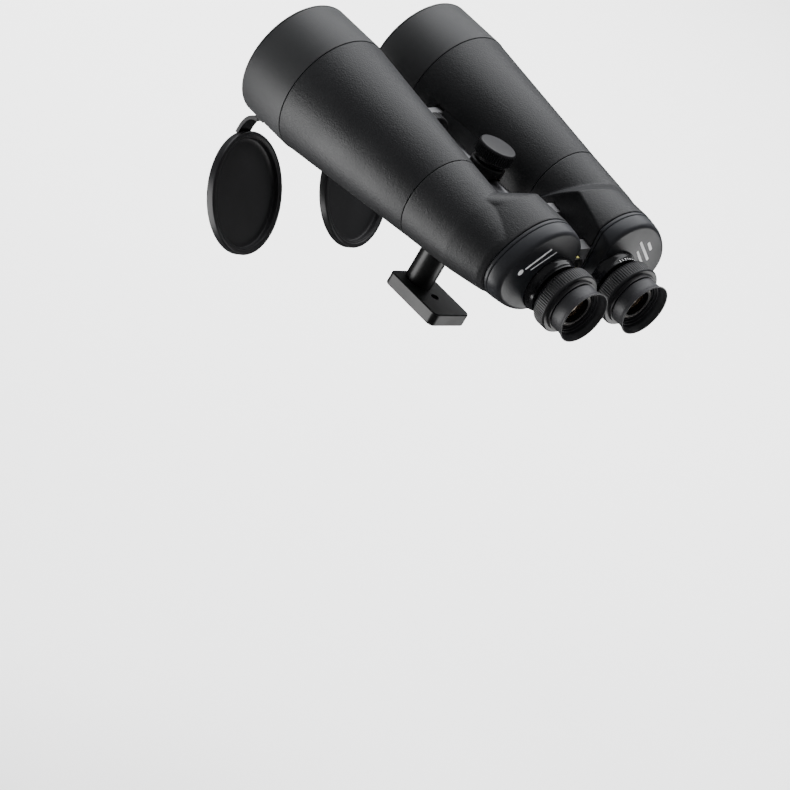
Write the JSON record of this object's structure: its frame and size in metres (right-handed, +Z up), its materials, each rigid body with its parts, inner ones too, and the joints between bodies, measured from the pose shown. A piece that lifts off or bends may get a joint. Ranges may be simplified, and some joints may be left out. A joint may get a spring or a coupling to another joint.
{
  "type": "astronomy binoculars",
  "caption": "Large straight-view porro-prism binoculars with rubber armour, hanging objective caps, twist-focus eyepieces and a tripod adapter on the hinge rod.",
  "frame": {"origin": "centre of the mouth of the tripod thread, on the underside of the adapter's foot plate", "axes": "+Y toward the objectives along the hinge line, +Z up along the pillar, +X toward the user's right; the tripod thread opens along -Z"},
  "size_m": [0.2341, 0.3241, 0.2166],
  "materials": {
    "armour_rubber": "fine leather grain rubber armour",
    "sleeve_rubber": "smoother satin rubber",
    "cap_rubber": "matte soft rubber",
    "cup_rubber": "satin soft rubber",
    "cover_satin": "satin dark paint",
    "arm_metal": "flat grey paint on die-cast metal",
    "inner_black": "matte black anodised",
    "black_anodised": "satin black anodised",
    "knob_black": "knurled satin black",
    "ring_black": "fine axial ribs, satin black",
    "gloss_black": "glossy black",
    "rod_steel": "ground steel",
    "black_steel": "black oxide",
    "nickel": "nickel plated",
    "bronze_bush": "sintered bronze",
    "pad_plastic": "acetal",
    "cap_metal": "turned metal",
    "optical_glass": "coated optical glass"
  },
  "bodies": {
    "stand": {"foot_plate": "black_anodised", "thread_insert": "nickel", "plate_screws": "black_steel", "pillar": "black_anodised"},
    "clamp_pad": {"clamp_pad": "pad_plastic"},
    "clamp_knob": {"clamp_knob": "knob_black", "clamp_screw": "black_steel"},
    "rod_bush": {"rod_bush": "bronze_bush"},
    "rod": {"adapter_rod": "rod_steel", "rod_collar": "black_anodised", "rod_end_knob": "knob_black", "rear_hinge_cap": "cap_metal", "front_hinge_cap": "cap_metal"},
    "left_half": {"left_objective_tube": "inner_black", "left_tube_armour": "armour_rubber", "left_objective_sleeve": "sleeve_rubber", "left_objective_cell": "inner_black", "left_flint_lens": "optical_glass", "left_crown_lens": "optical_glass", "left_lens_ring": "inner_black", "left_front_arm": "arm_metal", "left_housing_armour": "armour_rubber", "left_prism_housing": "arm_metal", "left_housing_cover": "cover_satin", "left_rear_prism": "optical_glass", "left_front_prism": "optical_glass", "left_prism_shelf": "inner_black", "left_eyepiece_base": "gloss_black"},
    "left_eyepiece": {"left_eyepiece_barrel": "inner_black", "left_field_lens": "optical_glass", "left_eye_lens": "optical_glass"},
    "left_focus": {"left_focus_ring": "ring_black", "left_eyecup": "cup_rubber"},
    "left_cap": {"left_cap_strap": "cap_rubber", "left_objective_cap": "cap_rubber"},
    "right_half": {"right_objective_tube": "inner_black", "right_tube_armour": "armour_rubber", "right_objective_sleeve": "sleeve_rubber", "right_objective_cell": "inner_black", "right_flint_lens": "optical_glass", "right_crown_lens": "optical_glass", "right_lens_ring": "inner_black", "right_front_arm": "arm_metal", "right_housing_armour": "armour_rubber", "right_prism_housing": "arm_metal", "right_housing_cover": "cover_satin", "right_rear_prism": "optical_glass", "right_front_prism": "optical_glass", "right_prism_shelf": "inner_black", "right_eyepiece_base": "gloss_black"},
    "right_eyepiece": {"right_eyepiece_barrel": "inner_black", "right_field_lens": "optical_glass", "right_eye_lens": "optical_glass"},
    "right_focus": {"right_focus_ring": "ring_black", "right_eyecup": "cup_rubber"},
    "right_cap": {"right_cap_strap": "cap_rubber", "right_objective_cap": "cap_rubber"}
  },
  "joints": [
    {"name": "clamp_lift", "type": "slide", "parent": "stand", "child": "clamp_pad", "axis": [0, 0, 1], "range_m": [0, 0.00125]},
    {"name": "clamp_turn", "type": "hinge", "parent": "clamp_pad", "child": "clamp_knob", "pos_m": [0, 0.02, 0.136], "axis": [0, 0, 1], "range_deg": [0, 360]},
    {"name": "rod_roll", "type": "hinge", "parent": "stand", "child": "rod_bush", "pos_m": [0, 0.02, 0.105], "axis": [0, 1, 0], "range_deg": [-2.1, 13.9]},
    {"name": "rod_slide", "type": "slide", "parent": "rod_bush", "child": "rod", "axis": [0, 1, 0], "range_m": [-0.037, 0.018]},
    {"name": "left_fold", "type": "hinge", "parent": "rod", "child": "left_half", "pos_m": [0, 0.02, 0.105], "axis": [0, 1, 0], "range_deg": [-5, 18]},
    {"name": "left_focus_travel", "type": "slide", "parent": "left_half", "child": "left_eyepiece", "axis": [0, 1, 0], "range_m": [-0.0025, 0.0025]},
    {"name": "left_focus_turn", "type": "hinge", "parent": "left_eyepiece", "child": "left_focus", "pos_m": [-0.03349, -0.117, 0.09832], "axis": [0, 1, 0], "range_deg": [-150, 150]},
    {"name": "left_cap_swing", "type": "hinge", "parent": "left_half", "child": "left_cap", "pos_m": [-0.07, 0.1708, 0.04881], "axis": [0.9947, 0, 0.1028], "range_deg": [-20, 30]},
    {"name": "right_fold", "type": "hinge", "parent": "rod", "child": "right_half", "pos_m": [0, 0.02, 0.105], "axis": [0, 1, 0], "range_deg": [-18, 5]},
    {"name": "right_focus_travel", "type": "slide", "parent": "right_half", "child": "right_eyepiece", "axis": [0, 1, 0], "range_m": [-0.0025, 0.0025]},
    {"name": "right_focus_turn", "type": "hinge", "parent": "right_eyepiece", "child": "right_focus", "pos_m": [0.03415, -0.117, 0.10531], "axis": [0, 1, 0], "range_deg": [-150, 150]},
    {"name": "right_cap_swing", "type": "hinge", "parent": "right_half", "child": "right_cap", "pos_m": [0.05094, 0.1708, 0.06342], "axis": [0.9947, 0, 0.1028], "range_deg": [-20, 30]}
  ],
  "couplings": [
    {"joint": "clamp_lift", "follows": "clamp_turn", "m_per_rad": 0.00019894},
    {"joint": "left_focus_travel", "follows": "left_focus_turn", "m_per_rad": 0.00095493},
    {"joint": "right_focus_travel", "follows": "right_focus_turn", "m_per_rad": 0.00095493},
    {"joint": "right_fold", "follows": "left_fold", "ratio": -1}
  ]
}
